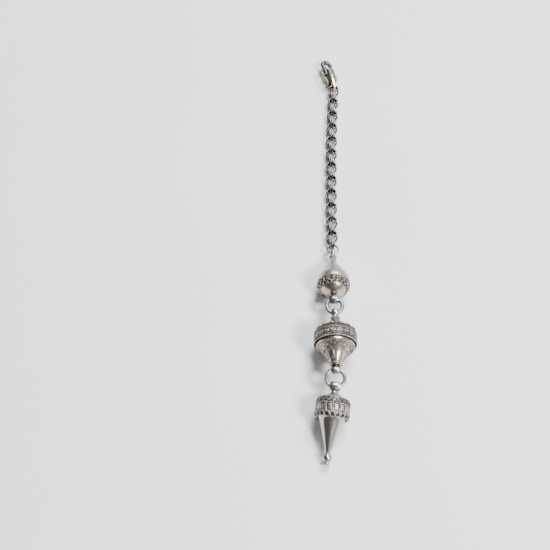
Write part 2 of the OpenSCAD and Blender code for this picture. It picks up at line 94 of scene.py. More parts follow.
wheel_at = Vector((0.1, -51.4, 8.66))
wheel_top_at = wheel_at + WHEEL_TOP * up(WHEEL_LIE)
wheel_bottom_at = wheel_at - WHEEL_BOTTOM * up(WHEEL_LIE)
upper_ring_at = wheel_top_at + reach(*UPPER_RING, WHEEL_TOP_EYE) * up(UPPER_RING_LIE)
ball_bottom_at = upper_ring_at + reach(*UPPER_RING, BEAD_BOTTOM_EYE) * up(UPPER_RING_LIE)
ball_at = ball_bottom_at + (BALL_DROP + BALL_TAIL) * up(BALL_LIE)
end_ring_at = ball_at + reach(*END_RING, BEAD_TOP_EYE) * up(END_RING_LIE)
link_at = {LINKS: end_ring_at + END_RING_SEAT * up(END_RING_LIE)
           + (LINK_HALF + LINK_R) * up(link_lie(LINKS))}
for i in range(LINKS - 1, 0, -1):
    here, after = link_lie(i), link_lie(i + 1)
    link_at[i] = link_at[i + 1] + PITCH * up(((here[0] + after[0]) / 2, (here[1] + after[1]) / 2))
lower_ring_at = wheel_bottom_at - reach(*LOWER_RING, WHEEL_BOTTOM_EYE) * up(LOWER_RING_LIE)
drop_at = lower_ring_at - reach(*LOWER_RING, DROP_EYE) * up(LOWER_RING_LIE)

IN_BALL = lay(ball_at, BALL_LIE)
IN_WHEEL = lay(wheel_at, WHEEL_LIE)
IN_DROP = lay(drop_at, DROP_LIE)

# ---- nodes -----------------------------------------------------------------------------


class Value:
    """A node's output that takes part in sums written as Python expressions."""

    def __init__(self, graph, socket):
        self.graph, self.socket = graph, socket

    def math(self, operation, *others):
        inputs = dict(enumerate((self, *others)))
        return self.graph.node("ShaderNodeMath", inputs, operation=operation).out()

    def __add__(self, other):
        return self.math("ADD", other)

    def __sub__(self, other):
        return self.math("SUBTRACT", other)

    def __mul__(self, other):
        return self.math("MULTIPLY", other)

    def __truediv__(self, other):
        return self.math("DIVIDE", other)

    def __rsub__(self, other):
        return self.graph.node("ShaderNodeMath", {0: other, 1: self}, operation="SUBTRACT").out()

    __radd__, __rmul__ = __add__, __mul__

    def clamp(self, low=0.0, high=1.0):
        return self.math("MAXIMUM", low).math("MINIMUM", high)

    def cos(self):
        return self.math("COSINE")

    def sin(self):
        return self.math("SINE")

    def band(self, low, high):
        """0 below low, 1 above high, eased between them."""
        return self.graph.node("ShaderNodeMapRange", {"Value": self, "From Min": low,
                               "From Max": high}, interpolation_type="SMOOTHSTEP").out("Result")


class Placed:
    """A node with outputs that can be asked for by name."""

    def __init__(self, graph, node):
        self.graph, self.made = graph, node

    def out(self, key=0):
        return Value(self.graph, self.made.outputs[key])


class Graph:
    """Adds nodes to a tree: a node's settings first, then its inputs, as values or links."""

    def __init__(self, tree):
        self.tree = tree

    def node(self, kind, inputs=None, stops=None, **settings):
        made = self.tree.nodes.new(kind)
        for key, value in settings.items():
            setattr(made, key, value)
        for k, (place, colour) in enumerate(stops or ()):
            ramp = made.color_ramp.elements
            stop = ramp[k] if k < 2 else ramp.new(place)
            stop.position, stop.color = place, (*colour, 1)
        for key, value in (inputs or {}).items():
            if isinstance(value, Value):
                self.tree.links.new(value.socket, made.inputs[key])
            else:
                made.inputs[key].default_value = value
        return Placed(self, made)

    def vector(self, x, y, z):
        return self.node("ShaderNodeCombineXYZ", {0: x, 1: y, 2: z}).out()

    def vector_math(self, operation, a, b=None, scale=None):
        inputs = {0: a}
        if b is not None:
            inputs[1] = b
        if scale is not None:
            inputs["Scale"] = scale
        return self.node("ShaderNodeVectorMath", inputs, operation=operation).out()

    def parts(self, vector):
        split = self.node("ShaderNodeSeparateXYZ", {0: vector})
        return split.out(0), split.out(1), split.out(2)

    def blend(self, amount, a, b):
        """Colour a where amount is 0 and b where it is 1."""
        inputs = {0: amount, 6: a if isinstance(a, Value) else (*a, 1),
                  7: b if isinstance(b, Value) else (*b, 1)}
        return self.node("ShaderNodeMix", inputs, data_type="RGBA").out(2)


# ---- finishes --------------------------------------------------------------------------


def metal(name, bright, dark, rough, tarnish=0.35, recess=1.0, grain=0.5, pits=0.0, depth=0.9):
    """Worn silver: bright where it is handled, dark in recesses and in drifting patches."""
    material = bpy.data.materials.new(name)
    material.use_nodes = True
    g = Graph(material.node_tree)
    g.tree.nodes.clear()
    place = g.node("ShaderNodeTexCoord").out("Object")

    def cloud(scale, detail=4.0):
        return g.node("ShaderNodeTexNoise", {"Vector": place, "Scale": scale, "Detail": detail,
                                             "Roughness": 0.6}).out("Fac")

    open_air = g.node("ShaderNodeAmbientOcclusion", {"Distance": depth * MM}, samples=6,
                      only_local=False).out("AO")
    patches, fine = cloud(260.0), cloud(2600.0)
    hollow = ((0.92 - open_air) * 1.9 * recess).clamp()
    stain = ((patches - 0.5) * 2.4 * tarnish + (fine - 0.5) * 0.8 * tarnish).clamp(-0.3, 1)
    dirt = (hollow + stain).clamp()
    colour = g.blend(dirt, bright, dark)
    warm = cloud(140.0, 2.0).band(0.42, 0.62) * 0.35
    colour = g.blend(warm, colour, tuple(c * t for c, t in zip(bright, (0.96, 0.86, 0.74))))
    roughness = (dirt * 0.25 + (fine - 0.5) * 0.18 + rough).clamp(0.06, 0.9)
    scratch = g.node("ShaderNodeTexNoise", {
        "Vector": g.node("ShaderNodeMapping", {"Vector": place, "Rotation": (0.4, 0.2, 0.7),
                                               "Scale": (1.0, 7.0, 1.0)}).out(),
        "Scale": 1900.0, "Detail": 3.0}).out("Fac")
    height = scratch * grain + cloud(900.0) * (grain + 2.5 * pits)
    bump = g.node("ShaderNodeBump", {"Height": height, "Strength": 0.5, "Distance": 0.05 * MM})
    surface = g.node("ShaderNodeBsdfPrincipled", {
        "Base Color": colour, "Roughness": roughness, "Metallic": 1.0, "Normal": bump.out()})
    g.node("ShaderNodeOutputMaterial", {"Surface": surface.out()})
    return material


def paper(name):
    """Rolled handmade paper with a soft fibre."""
    material = bpy.data.materials.new(name)
    material.use_nodes = True
    g = Graph(material.node_tree)
    g.tree.nodes.clear()
    place = g.node("ShaderNodeTexCoord").out("Object")
    fibre = g.node("ShaderNodeTexNoise", {"Vector": place, "Scale": 900.0, "Detail": 5.0}).out("Fac")
    colour = g.blend(fibre, (0.62, 0.52, 0.36), (0.82, 0.75, 0.60))
    bump = g.node("ShaderNodeBump", {"Height": fibre, "Strength": 0.4, "Distance": 0.05 * MM})
    surface = g.node("ShaderNodeBsdfPrincipled", {
        "Base Color": colour, "Roughness": 0.85, "Normal": bump.out()})
    g.node("ShaderNodeOutputMaterial", {"Surface": surface.out()})
    return material


def table_top(name):
    """A matt, faintly mottled, pale table."""
    material = bpy.data.materials.new(name)
    material.use_nodes = True
    g = Graph(material.node_tree)
    g.tree.nodes.clear()
    place = g.node("ShaderNodeTexCoord").out("Object")
    mottle = g.node("ShaderNodeTexNoise", {"Vector": place, "Scale": 14.0, "Detail": 2.0}).out("Fac")
    colour = g.blend(mottle, (0.86, 0.875, 0.895), (0.90, 0.91, 0.925))
    surface = g.node("ShaderNodeBsdfPrincipled", {"Base Color": colour, "Roughness": 0.75,
                                                  "Specular IOR Level": 0.2})
    g.node("ShaderNodeOutputMaterial", {"Surface": surface.out()})
    return material


BLACKENED = metal("blackened_silver", (0.17, 0.17, 0.165), (0.004, 0.004, 0.005), 0.25,
                  tarnish=0.8, recess=2.4, grain=0.6, depth=1.3)
GUNMETAL = metal("gunmetal_ring", (0.22, 0.225, 0.24), (0.05, 0.05, 0.055), 0.27,
                 tarnish=0.3, recess=0.8)
HOOK_GREY = metal("hook_grey_silver", (0.15, 0.15, 0.148), (0.03, 0.03, 0.033), 0.42,
                  tarnish=0.35, recess=0.9, grain=0.8, pits=0.5)
BRIGHT = metal("bright_silver", (0.50, 0.48, 0.455), (0.03, 0.027, 0.025), 0.22,
               tarnish=0.4, recess=1.6)
SATIN = metal("satin_silver", (0.42, 0.41, 0.39), (0.06, 0.055, 0.05), 0.38,
              tarnish=0.35, recess=1.0, grain=1.0, pits=0.4)
# Dark sheet finish: oxide on the wheel's dome, drum and groove, and painted shade where it backs the
# pierced galleries of the bead and the drop.
OXIDE_GROUND_AND_HOLE_SHADE = metal("dark_ground_and_hole_shade", (0.10, 0.09, 0.08), (0.008, 0.007, 0.006), 0.5,
               tarnish=0.5, recess=1.6, grain=1.0, pits=1.0)
FILIGREE = metal("filigree_wire", (0.44, 0.40, 0.365), (0.02, 0.017, 0.015), 0.26,
                 tarnish=0.6, recess=1.9, depth=0.8)
WARM = metal("warm_polished_silver", (0.46, 0.395, 0.33), (0.06, 0.048, 0.038), 0.22,
             tarnish=0.5, recess=1.0, pits=0.3, depth=0.8)
SMOOTH = metal("smooth_cone_silver", (0.48, 0.445, 0.41), (0.08, 0.07, 0.065), 0.17,
               tarnish=0.3, recess=0.8)
RING_GREY = metal("grey_ring_silver", (0.36, 0.355, 0.335), (0.07, 0.07, 0.065), 0.25,
                  tarnish=0.4, recess=0.8)
STEEL = metal("spring_steel", (0.35, 0.36, 0.38), (0.10, 0.10, 0.11), 0.3)
PAPER = paper("rolled_paper")

# ---- shapes ----------------------------------------------------------------------------


def mesh_from(bm, name="shape"):
    bmesh.ops.recalc_face_normals(bm, faces=bm.faces)
    mesh = bpy.data.meshes.new(name)
    bm.to_mesh(mesh)
    bm.free()
    return mesh


def arc(middle, radius, start, end, steps):
    """Points (radius, height) on a circular profile between two angles in degrees."""
    angles = [radians(start + (end - start) * k / steps) for k in range(steps + 1)]
    return [(middle[0] + radius * cos(a), middle[1] + radius * sin(a)) for a in angles]


def sheet(outer, wall):
    """Closes an outer profile, drawn from top to bottom, with an inner wall behind it."""
    inner = []
    for k, (r, z) in enumerate(outer):
        before, after = outer[max(0, k - 1)], outer[min(len(outer) - 1, k + 1)]
        run = Vector((after[0] - before[0], after[1] - before[1])).normalized()
        inner.append((max(0.0, r + run[1] * wall), z - run[0] * wall))
    return outer + inner[::-1]


def lathe(profile, steps=96, crisp=30):
    """Turns a closed profile about the axis; corners sharper than crisp stay crisp."""
    bm = bmesh.new()
    rings = [[bm.verts.new((r * cos(tau * k / steps), r * sin(tau * k / steps), z))
              for k in range(steps)] if r > 1e-4 else [bm.verts.new((0, 0, z))] * steps
             for r, z in profile]
    count = len(profile)
    for i in range(count):
        a, b = rings[i], rings[(i + 1) % count]
        for k in range(steps):
            n = (k + 1) % steps
            corners = list(dict.fromkeys((a[k], a[n], b[n], b[k])))
            if len(corners) > 2:
                bm.faces.new(corners).smooth = True
    for i in range(count):
        p, q, s = (Vector(profile[j % count]) for j in (i - 1, i, i + 1))
        if (q - p).length < 1e-6 or (s - q).length < 1e-6 or profile[i][0] <= 1e-4:
            continue
        if (q - p).angle(s - q) > radians(crisp):
            ring = rings[i]
            for k in range(steps):
                edge = bm.edges.get((ring[k], ring[(k + 1) % steps]))
                if edge:
                    edge.smooth = False
    return mesh_from(bm)


def ball(radius, at=(0, 0, 0), around=8, rings=6):
    """A small grain with few faces."""
    bm = bmesh.new()
    bmesh.ops.create_uvsphere(bm, u_segments=around, v_segments=rings, radius=radius)
    for v in bm.verts:
        v.co += Vector(at)
    for f in bm.faces:
        f.smooth = True
    return mesh_from(bm)


def torus(ring_r, wire_r, at=NO_MOVE, around=24, sides=8):
    """A little ring of round wire, flat in its own X-Y plane, then placed."""
    bm = bmesh.new()
    rings = [[bm.verts.new(at @ Vector((
        (ring_r + wire_r * cos(tau * j / sides)) * cos(tau * i / around),
        (ring_r + wire_r * cos(tau * j / sides)) * sin(tau * i / around),
        wire_r * sin(tau * j / sides)))) for j in range(sides)] for i in range(around)]
    for i in range(around):
        for j in range(sides):
            n, m = (i + 1) % around, (j + 1) % sides
            bm.faces.new((rings[i][j], rings[n][j], rings[n][m], rings[i][m])).smooth = True
    return mesh_from(bm)


def join(*meshes):
    bm = bmesh.new()
    for mesh in meshes:
        bm.from_mesh(mesh)
        bpy.data.meshes.remove(mesh)
    mesh = bpy.data.meshes.new("joined")
    bm.to_mesh(mesh)
    bm.free()
    return mesh


def path(*lines, closed=False):
    """Polylines as a mesh of edges only, for a tree to follow."""
    points, edges = [], []
    for line in lines:
        first = len(points)
        points += [Vector(p) for p in line]
        edges += [(first + k, first + k + 1) for k in range(len(line) - 1)]
        if closed:
            edges.append((len(points) - 1, first))
    mesh = bpy.data.meshes.new("path")
    mesh.from_pydata(points, edges, [])
    return mesh


# ---- geometry trees --------------------------------------------------------------------

KINDS = {int: "NodeSocketInt", float: "NodeSocketFloat", type(None): "NodeSocketObject"}


def new_tree(name, **sizes):
    """A geometry tree with a geometry input, named sizes and a finish."""
    tree = bpy.data.node_groups.new(name, "GeometryNodeTree")
    face = tree.interface
    face.new_socket("Geometry", in_out="INPUT", socket_type="NodeSocketGeometry")
    for label, start in sizes.items():
        made = face.new_socket(label, in_out="INPUT", socket_type=KINDS[type(start)])
        if start is not None:
            made.default_value = start
    face.new_socket("finish", in_out="INPUT", socket_type="NodeSocketMaterial")
    face.new_socket("Geometry", in_out="OUTPUT", socket_type="NodeSocketGeometry")
    g = Graph(tree)
    return g, g.node("NodeGroupInput")


def close_tree(g, given, geometry):
    whole = g.node("GeometryNodeRealizeInstances", {0: geometry}).out()
    smooth = g.node("GeometryNodeSetShadeSmooth", {"Geometry": whole}).out()
    done = g.node("GeometryNodeSetMaterial", {"Geometry": smooth,
                                              "Material": given.out("finish")}).out()
    g.node("NodeGroupOutput", {0: done})
    return g.tree


def round_wire(g, curve, radius, sides):
    section = g.node("GeometryNodeCurvePrimitiveCircle", {"Resolution": sides, "Radius": radius})
    return g.node("GeometryNodeCurveToMesh", {"Curve": curve, "Profile Curve": section.out(),
                                              "Fill Caps": True}).out()


def link_tree():
    """One ring of a twisted curb link."""
    g, given = new_tree("curb_link", points=72, wire=0.8, half=2.1, radius=1.95, twist=0.785,
                        splay=0.3, side=1.0)
    points, wire, radius = given.out("points"), given.out("wire"), given.out("radius")
    turn = g.node("GeometryNodeInputIndex").out() * tau / points
    across, along = turn.cos(), turn.sin()
    height = radius * along + given.out("half") * (along * 3.0).clamp(-1, 1)
    eased = (height / (given.out("half") + radius * 0.6)).clamp(-1, 1)
    twist = given.out("twist") * 1.5 * (eased - eased * eased * eased / 3.0)
    flat = radius * across
    ring = g.node("GeometryNodeCurvePrimitiveCircle", {"Resolution": points}).out()
    ring = g.node("GeometryNodeSetPosition", {
        "Geometry": ring,
        "Position": g.vector(flat * twist.cos(), flat * twist.sin(), height)}).out()
    outward = g.vector(across * twist.cos(), across * twist.sin(), along)
    tangent = g.node("GeometryNodeInputTangent").out()
    aside = g.vector_math("NORMALIZE", g.vector_math("CROSS_PRODUCT", tangent, outward))
    step = g.vector_math("SCALE", aside, scale=given.out("side") * (
        (wire + PAIR_GAP) / 2.0 + given.out("splay") * (1.0 - eased * eased)))
    ring = g.node("GeometryNodeSetPosition", {"Geometry": ring, "Offset": step}).out()
    return close_tree(g, given, round_wire(g, ring, wire / 2.0, 12))


def rope_tree():
    """Two fine wires twisted together and bent into a ring."""
    g, given = new_tree("rope_ring", radius=8.0, height=0.0, wire=0.15, turns=40)
    turns, wire = given.out("turns"), given.out("wire")
    points = turns * 7
    turn = g.node("GeometryNodeInputIndex").out() * tau / points
    strands = g.node("GeometryNodeJoinGeometry")
    for start in (0.0, pi):
        phase = turn * turns + start
        r = given.out("radius") + phase.cos() * wire
        place = g.vector(r * turn.cos(), r * turn.sin(), given.out("height") + phase.sin() * wire)
        ring = g.node("GeometryNodeCurvePrimitiveCircle", {"Resolution": points}).out()
        ring = g.node("GeometryNodeSetPosition", {"Geometry": ring, "Position": place}).out()
        g.tree.links.new(round_wire(g, ring, wire, 6).socket, strands.made.inputs[0])
    return close_tree(g, given, strands.out())


def around_tree():
    """Repeats a shape round the axis."""
    g, given = new_tree("around_axis", repeats=12)
    spots = g.node("GeometryNodePoints", {"Count": given.out("repeats")}).out()
    turn = g.node("GeometryNodeInputIndex").out() * tau / given.out("repeats")
    row = g.node("GeometryNodeInstanceOnPoints", {
        "Points": spots, "Instance": given.out("Geometry"),
        "Rotation": g.vector(0.0, 0.0, turn)}).out()
    return close_tree(g, given, row)


def wrap_tree():
    """Repeats a flat wire motif, wraps it round a turned profile and gives it thickness."""
    g, given = new_tree("wrapped_wire", profile=None, repeats=12, spread=2.0, wire=0.15)
    motif = g.node("GeometryNodeMeshToCurve", {"Mesh": given.out("Geometry")}).out()
    spots = g.node("GeometryNodeMeshLine", {
        "Count": given.out("repeats"),
        "Offset": g.vector(given.out("spread"), 0.0, 0.0)}).out()
    row = g.node("GeometryNodeInstanceOnPoints", {"Points": spots, "Instance": motif}).out()
    row = g.node("GeometryNodeRealizeInstances", {0: row}).out()
    x, down, proud = g.parts(g.node("GeometryNodeInputPosition").out())
    turn = x * tau / (given.out("spread") * given.out("repeats"))
    shape = g.node("GeometryNodeObjectInfo", {"Object": given.out("profile")}).out("Geometry")
    shape = g.node("GeometryNodeMeshToCurve", {"Mesh": shape}).out()
    found = g.node("GeometryNodeSampleCurve", {"Curves": shape, "Length": down}, mode="LENGTH",
                   use_all_curves=True)
    r, _, z = g.parts(found.out("Position"))
    run_r, _, run_z = g.parts(found.out("Tangent"))
    r, z = r - run_z * proud, z + run_r * proud
    row = g.node("GeometryNodeSetPosition", {
        "Geometry": row, "Position": g.vector(r * turn.cos(), r * turn.sin(), z)}).out()
    return close_tree(g, given, round_wire(g, row, given.out("wire"), 6))


def scatter_tree():
    """Grains of solder strewn over a sheet, never touching."""
    g, given = new_tree("strewn_grains", apart=0.7, grain=0.2, seed=3)
    cast = g.node("GeometryNodeDistributePointsOnFaces", {
        "Mesh": given.out("Geometry"), "Distance Min": given.out("apart"),
        "Density Max": 4.0, "Seed": given.out("seed")}, distribute_method="POISSON").out("Points")
    size = g.node("FunctionNodeRandomValue", {2: 0.7, 3: 1.15, "Seed": 5}).out(1)
    bead = g.node("GeometryNodeMeshUVSphere", {"Segments": 7, "Rings": 5,
                                               "Radius": given.out("grain")}).out("Mesh")
    strewn = g.node("GeometryNodeInstanceOnPoints", {
        "Points": cast, "Instance": bead, "Scale": g.vector(size, size, size)}).out()
    return close_tree(g, given, strewn)


LINK, ROPE, AROUND, WRAP, SCATTER = (link_tree(), rope_tree(), around_tree(), wrap_tree(),
                                     scatter_tree())


def grow(tree, base=None, **sizes):
    """Runs a geometry tree and returns the plain mesh that it makes."""
    host = bpy.data.objects.new("host", base or bpy.data.meshes.new("empty"))
    bpy.context.collection.objects.link(host)
    step = host.modifiers.new("tree", "NODES")
    step.node_group = tree
    for item in tree.interface.items_tree:
        if item.item_type == "SOCKET" and item.in_out == "INPUT" and item.name in sizes:
            step[item.identifier] = sizes[item.name]
    host.update_tag()
    seen = host.evaluated_get(bpy.context.evaluated_depsgraph_get())
    mesh = bpy.data.meshes.new_from_object(seen)
    bpy.data.objects.remove(host)
    return mesh


def piece(name, body, mesh, at, finish, slot, *stands_for):
    """Places a finished mesh on its body, in place of plain nodes. The slot is not used."""
    made = bpy.data.objects.new(name, mesh)
    bpy.context.collection.objects.link(made)
    mesh.transform(at)
    mesh.materials.clear()
    mesh.materials.append(finish)
    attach(made, body)
    if stands_for:
        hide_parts(*stands_for)
    return made


TURN_LENGTH = 5.5                       # length of a rope's turn, in wires


def rope(name, body, at, radius, height, wire, finish=None, slot="bright_silver", *stands_for):
    """A ring of twisted wires soldered round a body at a height on its axis."""
    turns = int(tau * radius / (wire * TURN_LENGTH))
    mesh = grow(ROPE, radius=float(radius), height=float(height), wire=wire, turns=turns)
    return piece(name, body, mesh, at, finish or FILIGREE, slot, *stands_for)


def wrapped(name, body, at, motif, profile, repeats, radius, wire, finish=None,
            slot="bright_silver", *stands_for):
    """A wire motif repeated round a profile; radius sets how wide one repeat is."""
    track = bpy.data.objects.new("track", path([(r, 0, z) for r, z in profile]))
    bpy.context.collection.objects.link(track)
    mesh = grow(WRAP, motif, profile=track, repeats=repeats, spread=tau * radius / repeats,
                wire=wire)
    bpy.data.objects.remove(track)
    return piece(name, body, mesh, at, finish or FILIGREE, slot, *stands_for)


def ringed(name, body, at, mesh, repeats, finish, slot, *stands_for):
    """A shape repeated round a body's own axis, as one piece."""
    return piece(name, body, grow(AROUND, mesh, repeats=repeats), at, finish, slot, *stands_for)


def hoop(x, y, radius, proud, steps=12, tall=1.0):
    """A closed oval of wire as points: across, down the profile, and proud of it."""
    return [(x + radius * cos(tau * k / steps), y + tall * radius * sin(tau * k / steps), proud)
            for k in range(steps)]


# ---- chain -------------------------------------------------------------------------------

CHAIN_ROLL = Matrix.Rotation(radians(-40), 4, "Z")
for i in range(1, LINKS + 1):
    for side, letter in ((-1.0, "a"), (1.0, "b")):
        mesh = grow(LINK, wire=FINISHED_WIRE, half=LINK_HALF, radius=LINK_R, twist=LINK_TWIST,
                    side=side)
        piece(f"curb_link_{i:02d}{letter}", f"link_{i:02d}", mesh,
              lay(link_at[i], link_lie(i)) @ CHAIN_ROLL,
              BLACKENED, "dark_silver", f"chain_link_{i:02d}{letter}")

# ---- eyes --------------------------------------------------------------------------------


def barrel_eye(length, hole, waist, post_r, near, far):
    """A rounded barrel across the body with a smooth bore, on a post from near to far."""
    half, lip, fullness, steps = length / 2, 0.14, 2.4, 7
    swell = [(waist - (waist - hole - lip) * (abs(t) ** fullness), half * t)
             for t in [k / steps for k in range(-steps, steps + 1)]]
    bore = [(hole, half), (hole, -half)]
    barrel = lathe(swell + bore, 48)
    barrel.transform(Matrix.Rotation(radians(90), 4, "Y"))
    post = lathe([(0, near), (post_r, near), (post_r, far), (0, far)], 24)
    return join(barrel, post)


def below(depth):
    """A step down a body's own axis."""
    return Matrix.Translation((0, 0, -depth))


# Sizes of an eye: length, radius of the bore, radius of the waist, and the post's radius,
# near end and far end.
for label, body, at, sizes, finish, slot, stand in (
        ("bead_upper_barrel", "ball_bead", IN_BALL, (BEAD_TOP_EYE, 0.565, 1.3, 0.6, -3.2, -0.8),
         BRIGHT, "bright_silver", "bead_top_eye"),
        ("bead_lower_barrel", "ball_bead", IN_BALL @ below(BALL_DROP + BALL_TAIL),
         (BEAD_BOTTOM_EYE, 1.319, 1.72, 0.8, 1.5, 3.2), GUNMETAL, "dark_silver", "bead_bottom_eye"),
        ("wheel_upper_barrel", "spindle", IN_WHEEL @ below(-WHEEL_TOP),
         (WHEEL_TOP_EYE, 1.125, 1.6, 0.95, -1.8, -1.25),
         BRIGHT, "bright_silver", "wheel_top_eye"),
        ("wheel_lower_barrel", "spindle", IN_WHEEL @ below(WHEEL_BOTTOM),
         (WHEEL_BOTTOM_EYE, 1.078, 1.6, 1.15, 1.25, 1.62),
         BRIGHT, "bright_silver", "wheel_bottom_eye"),
        ("drop_barrel", "drop", IN_DROP, (DROP_EYE, 1.322, 1.78, 0.7, -3.4, -1.5),
         BRIGHT, "bright_silver", "drop_eye")):
    piece(label, body, barrel_eye(*sizes), at, finish, slot, stand)

# ---- ball bead ---------------------------------------------------------------------------

BALL_MIDDLE = (0, -BALL_DROP)
SEAM = -BALL_DROP - 1.2
FLARE = 9.0
neck = [(0.75, -1.75), (1.15, -1.78), (1.32, -1.95), (1.32, -2.3), (1.2, -2.5), (1.3, -3.0)]
neck += [(1.3 + FLARE - FLARE * cos(radians(a)), -3 - FLARE * sin(radians(a)))
         for a in (8, 16, 24, 32, 40, 46)]
upper_half = neck + arc(BALL_MIDDLE, BALL_R, 46, 0, 12) + arc(BALL_MIDDLE, BALL_R, -4, -10.8, 3)
piece("bead_upper_half", "ball_bead", lathe(sheet(upper_half, SHEET)), IN_BALL, SATIN,
      "satin_silver", "bead_neck_shell")
lower_half = arc(BALL_MIDDLE, BALL_R, -10.9, -82.8, 26)
piece("bead_polished_bowl", "ball_bead", lathe(sheet(lower_half, SHEET)), IN_BALL, WARM,
      "warm_silver", "bead_lower_bowl")

gallery_arc = arc(BALL_MIDDLE, BALL_R + 0.03, -8, -46, 14)
strip = arc(BALL_MIDDLE, BALL_R + 0.06, -11, -36, 10)
# The dark strip behind the gallery loops is painted shade: it stands for the shadow seen through the
# gallery's pierced holes.
piece("bead_gallery_ground", "ball_bead", lathe(sheet(strip, 0.1)), IN_BALL, OXIDE_GROUND_AND_HOLE_SHADE,
      "satin_silver", "bead_gallery")
LOOPS, LOOP_R = 18, 6.1                 # loops of the gallery, and their mean radius
loop_w = tau * LOOP_R / LOOPS
wrapped("bead_gallery_loops", "ball_bead", IN_BALL,
        path(hoop(0, 1.5, 0.92, 0.22, 14, 1.15), closed=True), gallery_arc, LOOPS, LOOP_R,
        0.17)
wrapped("bead_gallery_swags", "ball_bead", IN_BALL,
        path([(loop_w * (0.5 + 0.42 * cos(a)), 2.55 - 0.9 * sin(a), 0.2)
              for a in [pi * (1 + k / 8) for k in range(9)]]), gallery_arc, LOOPS, LOOP_R, 0.16)
rope("bead_seam_rope", "ball_bead", IN_BALL, 6.32, SEAM + 0.2, 0.13)
grain_r, grain_fall = BALL_R + 0.18, radians(21)
grain_spot = (grain_r * cos(grain_fall), 0, -BALL_DROP - grain_r * sin(grain_fall))
ringed("bead_gallery_grains", "ball_bead", IN_BALL, ball(0.3, grain_spot), LOOPS, BRIGHT,
       "bright_silver")
rope("bead_neck_rope", "ball_bead", IN_BALL, 1.38, -2.55, 0.1)

# ---- wheel -------------------------------------------------------------------------------

DOME_TOP = 8.5
dome_foot = (DRUM_R - DOME_R, DRUM_H)   # middle of the round shoulder
dome = [(0.8, DOME_TOP - 0.02), (3.0, DOME_TOP), (3.9, 7.98), (5.0, 7.42)]
dome += arc(dome_foot, DOME_R, 60, 0, 12)
piece("wheel_dome_sheet", "drum", lathe(sheet(dome, SHEET)), IN_WHEEL, OXIDE_GROUND_AND_HOLE_SHADE, "satin_silver",
      "wheel_upper_shell")
wall = [(DRUM_R - 0.02, DRUM_H), (DRUM_R, DRUM_H - 0.1), (DRUM_R, 0.15), (DRUM_R - 0.1, 0.0)]
piece("wheel_drum_sheet", "drum", lathe(sheet(wall, SHEET)), IN_WHEEL, OXIDE_GROUND_AND_HOLE_SHADE, "satin_silver",
      "wheel_drum_wall")
skin = [(2.6, DOME_TOP)] + dome[1:] + [(DRUM_R, 0.5)]
skin_mesh = lathe(sheet(skin, 0.02))
strewn = grow(SCATTER, skin_mesh, apart=0.56, grain=0.19)
piece("wheel_strewn_grains", "drum", strewn, IN_WHEEL, FILIGREE, "bright_silver")

lean = radians(50)                      # the shoulder rosettes lean out this far
rosette_spot = (Matrix.Translation((DRUM_R - DOME_R, 0, DRUM_H)) @ Matrix.Rotation(lean, 4, "Y")
                @ Matrix.Translation((0, 0, DOME_R)))
rosette = join(torus(0.78, 0.2, rosette_spot @ Matrix.Translation((0, 0, 0.2))),
               torus(0.46, 0.13, rosette_spot @ Matrix.Translation((0, 0, 0.14)), 16, 6),
               ball(0.25, rosette_spot @ Vector((0, 0, 0.22))))
ROSETTES = 14
ringed("wheel_shoulder_rosettes", "drum", IN_WHEEL, rosette, ROSETTES, FILIGREE, "bright_silver",
       "wheel_rosettes")


def on_slope(r, z, turn):
    """A spot on the dome's straight slope, its own Z standing off the sheet."""
    return (Matrix.Rotation(radians(turn), 4, "Z") @ Matrix.Translation((r, 0, z))
            @ Matrix.Rotation(radians(28), 4, "Y"))


slope_spot = on_slope(5.1, 7.52, 13)
ringed("wheel_slope_rosettes", "drum", IN_WHEEL,
       join(torus(0.6, 0.16, slope_spot), ball(0.24, slope_spot @ Vector((0, 0, 0.1)))),
       ROSETTES, FILIGREE, "bright_silver")
ringed("wheel_slope_grains", "drum", IN_WHEEL, ball(0.27, (3.9, 0, 8.2)), 20, BRIGHT,
       "bright_silver")
low = (Matrix.Rotation(radians(10), 4, "Z") @ Matrix.Translation((DRUM_R + 0.06, 0, 2.6))
       @ Matrix.Rotation(radians(90), 4, "Y"))
ringed("wheel_wall_rosettes", "drum", IN_WHEEL,
       join(torus(0.76, 0.17, low), torus(0.42, 0.12, low, 14, 6),
            ball(0.22, low @ Vector((0, 0, 0.06)))), 20, FILIGREE, "bright_silver")
wall_grain = ball(0.22, (DRUM_R + 0.1, 0, 1.15))
ringed("wheel_wall_grains", "drum", IN_WHEEL, wall_grain, 64, FILIGREE, "bright_silver")
rope("wheel_upper_rope", "drum", IN_WHEEL, DRUM_R + 0.08, DRUM_H - 0.35, 0.12, FILIGREE,
     "bright_silver", "wheel_upper_rim_wire")
rope("wheel_lower_rope", "drum", IN_WHEEL, DRUM_R + 0.08, 0.3, 0.14, BRIGHT,
     "bright_silver", "wheel_lower_rim_wire")
rope("wheel_dome_rope", "drum", IN_WHEEL, 3.15, DOME_TOP + 0.05, 0.13)

# crown: a small calyx with a granulated neck
crown = [(0.7, 12.88), (1.3, 12.86), (1.55, 12.6), (1.5, 12.2), (1.35, 11.9), (1.35, 11.4),
         (1.5, 10.7), (1.75, 10.0), (2.2, 9.3), (2.75, 8.75), (3.0, 8.52), (0.7, 8.52)]
piece("wheel_crown_neck", "drum", lathe(crown, 64), IN_WHEEL, SATIN, "satin_silver",
      "wheel_crown")


